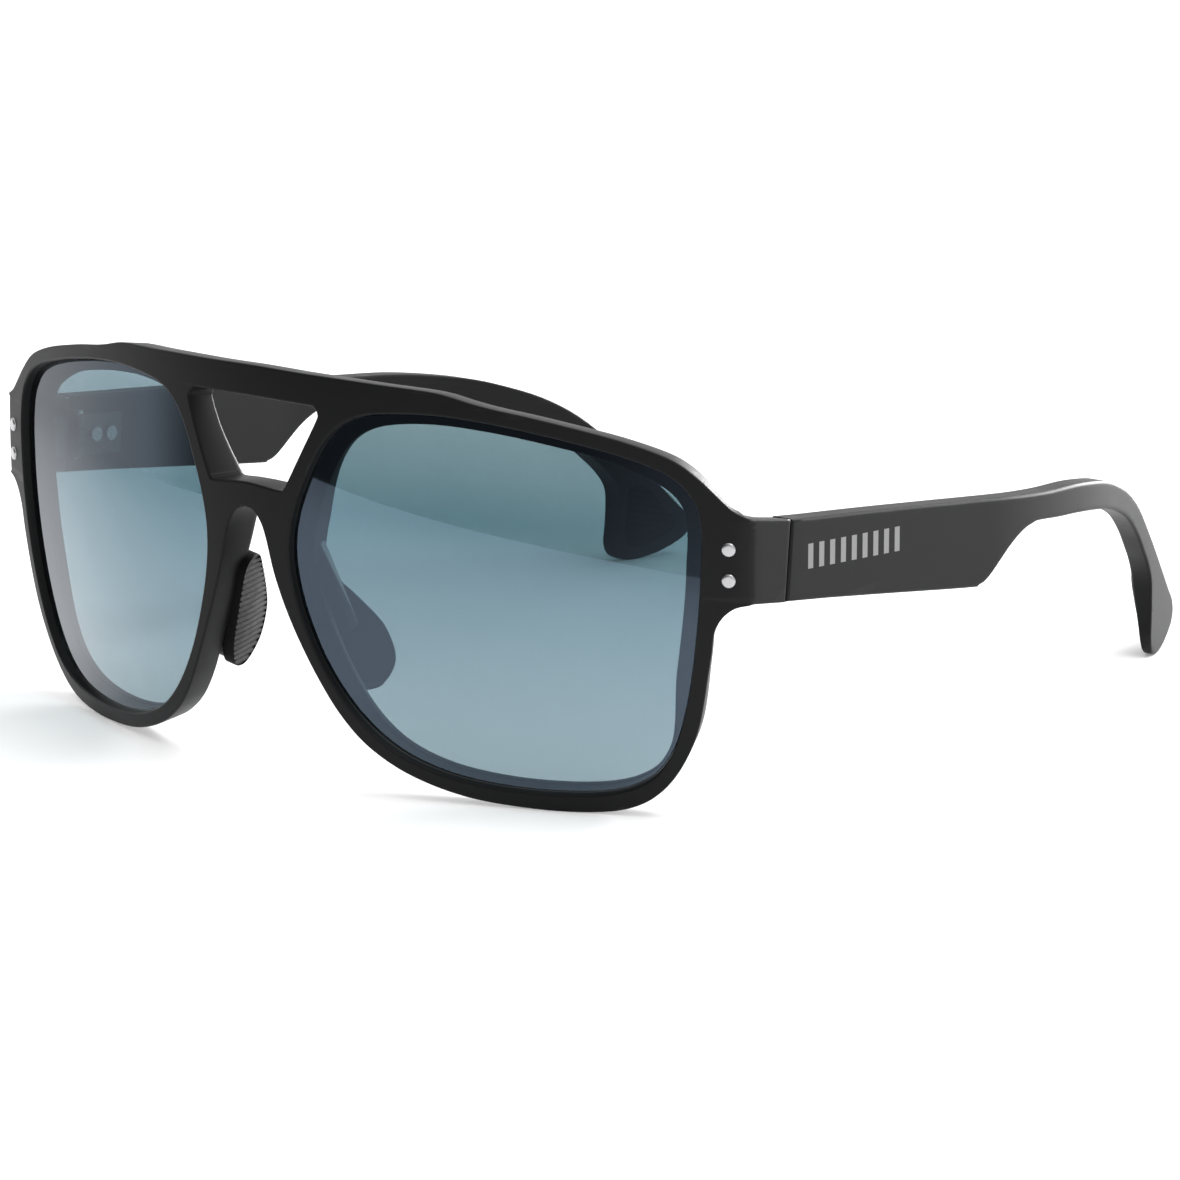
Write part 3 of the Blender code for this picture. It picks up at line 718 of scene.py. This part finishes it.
rivet_look = steel("steel_rivet_face", (1.0, 1.0, 6.0))
for level, height in RIVET_LEVELS:
    for side, body_word in ((1, "left"), (-1, "right")):
        rivet = linked(f"turned_rivet_{level}_{body_word}", bpy.data.meshes.new("rivet"))

        def turn(work):
            ring = [work.verts.new((r, 0.0, h)) for r, h in RIVET_PROFILE]
            strip = [work.edges.new(pair) for pair in zip(ring, ring[1:])]
            axis = {"cent": (0, 0, 0), "axis": (0, 0, 1), "dvec": (0, 0, 0)}
            bmesh.ops.spin(work, geom=ring + strip, angle=2 * math.pi, steps=40, **axis)
            bmesh.ops.remove_doubles(work, verts=work.verts, dist=1e-4)
            bmesh.ops.recalc_face_normals(work, faces=work.faces)

        edit(rivet, turn)
        out = -inward(RIVET_X, height)
        upright = Vector((0, 0, 1)).rotation_difference(out).to_matrix().to_4x4()
        rivet.data.transform(Matrix.Translation(on_face(RIVET_X, height)) @ upright)
        if side < 0:
            rivet.data.transform(Matrix.Scale(-1, 4, (1, 0, 0)))
            rivet.data.flip_normals()
        shaded(rivet, 40.0)
        settled(rivet, "front", "steel", [rivet_look], f"rivet_{level}_{body_word}")

# Temples: flat moulded side arms that taper from the hinge, step up in front of the ear and bend
# inwards behind it. They have the grain of the front. A row of plain pale dashes is printed near the hinge.
TEMPLE_ROUND = 0.5
BEND_START = 46.5
BEND_LENGTH = 40.3
BEND_RATE = 0.00478
BLANK_BEND_LENGTH = 38.0
BLANK_BEND_RATE = 0.0042
DRAWN_BACK, DRAWN_DOWN = 0.381, 0.122
TEMPLE_DROOP = 0.0075
LEAN_RUN = 7.6
TIP_THINNED, TIP_THIN_FROM, TIP_THIN_RUN = 1.9, -24.0, 13.0
TEMPLE_OUTLINE = (
    (0.0, 6.7), (20.0, 4.5), (48.5, 1.1), (55.0, 0.3), (62.0, -0.4), (70.0, -1.0), (76.5, -1.9),
    (82.0, -3.1), (86.5, -4.5), (92.7, -7.0), (98.2, -10.6), (103.8, -16.0), (108.6, -21.0),
    (113.6, -26.6), (115.3, -28.6), (116.0, -30.5), (115.0, -32.6), (111.3, -34.6), (107.3, -35.5),
    (104.8, -34.7), (104.0, -32.6), (104.2, -30.0), (104.4, -26.5), (104.2, -23.4), (102.8, -20.6),
    (100.2, -17.6), (97.0, -14.4), (92.4, -11.1), (86.5, -8.6), (80.6, -7.0), (71.6, -5.6),
    (64.5, -4.8), (59.0, -4.2), (57.0, -4.3), (54.5, -4.9), (51.0, -6.6), (46.0, -10.0),
    (43.6, -10.8), (41.0, -10.7), (20.0, -7.6), (0.0, -4.7),
)
DASH_COUNT = 9
DASH_PITCH = 2.45
DASH_SHARE = 0.46
DASH_HALF = 1.75
DASH_FROM_HINGE = 4.0
DASH_LEVEL, DASH_SLOPE = 36.1, 0.045
PRINT_GREY = (0.23, 0.23, 0.23, 1.0)
temple_start = HINGE_Y + HINGE_GAP / 2


def bend(back, length=BEND_LENGTH, rate=BEND_RATE):
    """How far the temple has curved inwards at a distance back from the hinge."""
    run = min(max(back - BEND_START, 0.0), length)
    beyond = max(back - BEND_START - length, 0.0)
    return rate * run * run + 2 * rate * length * beyond


def drawn_out(points):
    """An outline made for the blank's gentler bend, drawn back and down to suit the full bend."""
    out = []
    for back, up in points:
        curl = bend(back, BLANK_BEND_LENGTH, BLANK_BEND_RATE)
        out.append((round(back + DRAWN_BACK * curl, 1), round(up - DRAWN_DOWN * curl, 1)))
    return out


def side_piece(point):
    """A point of a flat side piece, as (back, up, outwards), taken to its place on the left."""
    back, up, out = point
    out += TIP_THINNED * eased((TIP_THIN_FROM - up) / TIP_THIN_RUN) * (1.0 - max(out, 0.0) / WALL)
    near_hinge = max(0.0, 1.0 - max(back, 0.0) / LEAN_RUN)
    lean = math.tan(HINGE_TILT) * (up - HINGE_Z) * near_hinge
    return Vector((SIDE_FACE - WALL + out - bend(back), temple_start + back + lean, up - TEMPLE_DROOP * back))


def dashes(finish):
    """The printed row: short bars of one length, on the outer faces only."""
    x, y, z = finish.axes()
    first = temple_start + REST_SHIFT.y + DASH_FROM_HINGE
    along = (y - first) * (1 / DASH_PITCH)
    in_row = (along > 0.0) * (along < float(DASH_COUNT))
    in_dash = along.fraction() < DASH_SHARE
    in_height = abs(z - DASH_LEVEL + (y - first) * DASH_SLOPE) < DASH_HALF
    outside = abs(x) > SIDE_FACE - 0.1
    return in_row * in_dash * in_height * outside


temple_look = matte_moulding("matte_moulded_temple", dashes, PRINT_GREY)
temple_loop = smooth_loop(drawn_out(TEMPLE_OUTLINE), 4, {0, len(TEMPLE_OUTLINE) - 1})
temple = plate("side_arm_left", [temple_loop], 0.0, WALL, TEMPLE_ROUND)
sliced(temple, (1, 0, 0), BEND_START, 118.0, 1.5)
sliced(temple, (1, 0, 0), 0.0, BEND_START, 3.0)
reshaped(temple, side_piece)
other_temple = mirrored(temple, "side_arm_right")
for thing, body_word in ((temple, "left"), (other_temple, "right")):
    shaded(thing)
    settled(thing, f"{body_word}_temple", "frame_plastic", [temple_look], f"temple_{body_word}")

# Tip grips: small ribbed rubber inserts let into the inner face of each temple tip, standing a
# little proud so that they hold behind the ear.
GRIP_PROUD = 0.5
GRIP_ROUND = 0.12
GRIP_PITCH = 1.1
GRIP_RIB = 0.4
GRIP_MIDDLE = Vector((109.0, -28.0, 0.0))
GRIP_OUTLINE = (
    (105.7, -23.2), (108.2, -23.6), (110.8, -26.6), (113.0, -29.4), (112.6, -31.2), (109.6, -32.8),
    (106.7, -33.2), (105.8, -31.0), (105.6, -27.0),
)
grip_loop = smooth_loop(drawn_out(GRIP_OUTLINE), 6)
grip = plate("tip_grip_insert_left", [grip_loop], -GRIP_PROUD, GRIP_PROUD, GRIP_ROUND, 1)
grip.data.transform(Matrix.Translation(-GRIP_MIDDLE))
ribbed(grip, (0.25, 1.0, 0.0), 8.0, GRIP_PITCH, GRIP_RIB, -GRIP_PROUD)
grip.data.transform(Matrix.Translation(GRIP_MIDDLE))
reshaped(grip, side_piece)
other_grip = mirrored(grip, "tip_grip_insert_right")
for thing, body_word in ((grip, "left"), (other_grip, "right")):
    shaded(thing, 50.0)
    settled(thing, f"{body_word}_temple", "rubber", [rubber_look], f"temple_grip_{body_word}")

# Hinges: a stamped steel leaf on the front and one on each temple, with rolled knuckles, one hinge
# screw through them and two small screws into the temple. Their edges are broken by tumbling.
EDGE_BREAK = 0.00008
BLACKED = (0.035, 0.035, 0.037, 1.0)
BLACKED_EDGE = (0.09, 0.09, 0.092, 1.0)
leaf_look = steel("black_steel_leaf", (1.0, 8.0, 1.0), BLACKED_EDGE, BLACKED)
screw_look = steel("steel_screw", (5.0, 1.0, 1.0))
for name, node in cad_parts.items():
    if "hinge" not in name and "screw" not in name:
        continue
    node.data.materials.clear()
    node.data.materials.append(leaf_look if "leaf" in name else screw_look)
    broken = node.modifiers.new("broken_edges", "BEVEL")
    broken.width = EDGE_BREAK
    broken.segments = 2
    broken.limit_method = "ANGLE"
    broken.angle_limit = math.radians(35)
    broken.use_clamp_overlap = True

# Floor: a wide sheet of pale matte board that the glasses stand on.
FLOOR_SHADE = (0.86, 0.86, 0.86, 1.0)
board = Finish("pale_board")
fibres = board.noise(300.0, 4.0)
board_look = board.done(
    board.surface(
        {
            "Base Color": FLOOR_SHADE,
            "Roughness": 0.9,
            "Specular IOR Level": 0.0,
            "Emission Color": (1.0, 1.0, 1.0, 1.0),
            "Emission Strength": 0.22,
            "Normal": board.bump(fibres, 0.00002, 0.2),
        }
    )
)
floor = linked("floor", bpy.data.meshes.new("floor"))
edit(floor, lambda work: bmesh.ops.create_grid(work, x_segments=8, y_segments=8, size=12.0))
floor.data.materials.append(board_look)

# Light: an even white room with the lamps off ahead of the glasses, and a soft box overhead.
ROOM_LIGHT = 1.0
DIM_SHARE = 0.9
world = bpy.data.worlds.new("studio_room")
bpy.context.scene.world = world
world.use_nodes = True
nodes = world.node_tree.nodes
links = world.node_tree.links
room = nodes["Background"]
room.inputs["Color"].default_value = (1.0, 1.0, 1.0, 1.0)
heading = nodes.new("ShaderNodeTexCoord")
facing = nodes.new("ShaderNodeVectorMath")
facing.operation = "DOT_PRODUCT"
facing.inputs[1].default_value = Vector((-0.35, -0.90, 0.25)).normalized()
links.new(heading.outputs["Generated"], facing.inputs[0])
dim = nodes.new("ShaderNodeMapRange")
dim.interpolation_type = "SMOOTHSTEP"
dim.inputs["From Min"].default_value = 0.6
dim.inputs["From Max"].default_value = 0.85
dim.inputs["To Min"].default_value = ROOM_LIGHT
dim.inputs["To Max"].default_value = ROOM_LIGHT * (1 - DIM_SHARE)
links.new(facing.outputs["Value"], dim.inputs["Value"])
links.new(dim.outputs["Result"], room.inputs["Strength"])

for name, place, width, height, power in (
    ("overhead_box", (0.35, 0.25, 1.1), 0.9, 0.6, 9.0),
    ("rear_box", (0.05, 1.5, 0.27), 1.1, 0.5, 36.0),
):
    lamp = bpy.data.lights.new(name, "AREA")
    lamp.shape = "RECTANGLE"
    lamp.size, lamp.size_y = width, height
    lamp.energy = power
    soft_box = linked(name, lamp)
    soft_box.location = place
    aim = Vector((0, 0, 0.03)) - soft_box.location
    soft_box.rotation_euler = aim.to_track_quat("-Z", "Y").to_euler()

# Camera: a long lens from the left of the wearer, a little above the brow.
lens_data = bpy.data.cameras.new("camera")
lens_data.sensor_width = 36.0
lens_data.lens = 207.428
lens_data.shift_x = 0.01252
lens_data.shift_y = -0.0025
lens_data.clip_start = 0.01
lens_data.clip_end = 100.0
camera = linked("camera", lens_data)
camera.location = (0.627559, -0.759967, 0.236731)
camera.rotation_euler = [math.radians(angle) for angle in (77.3024, -0.0216, 39.7922)]
bpy.context.scene.camera = camera
bpy.context.scene.view_settings.view_transform = "Standard"
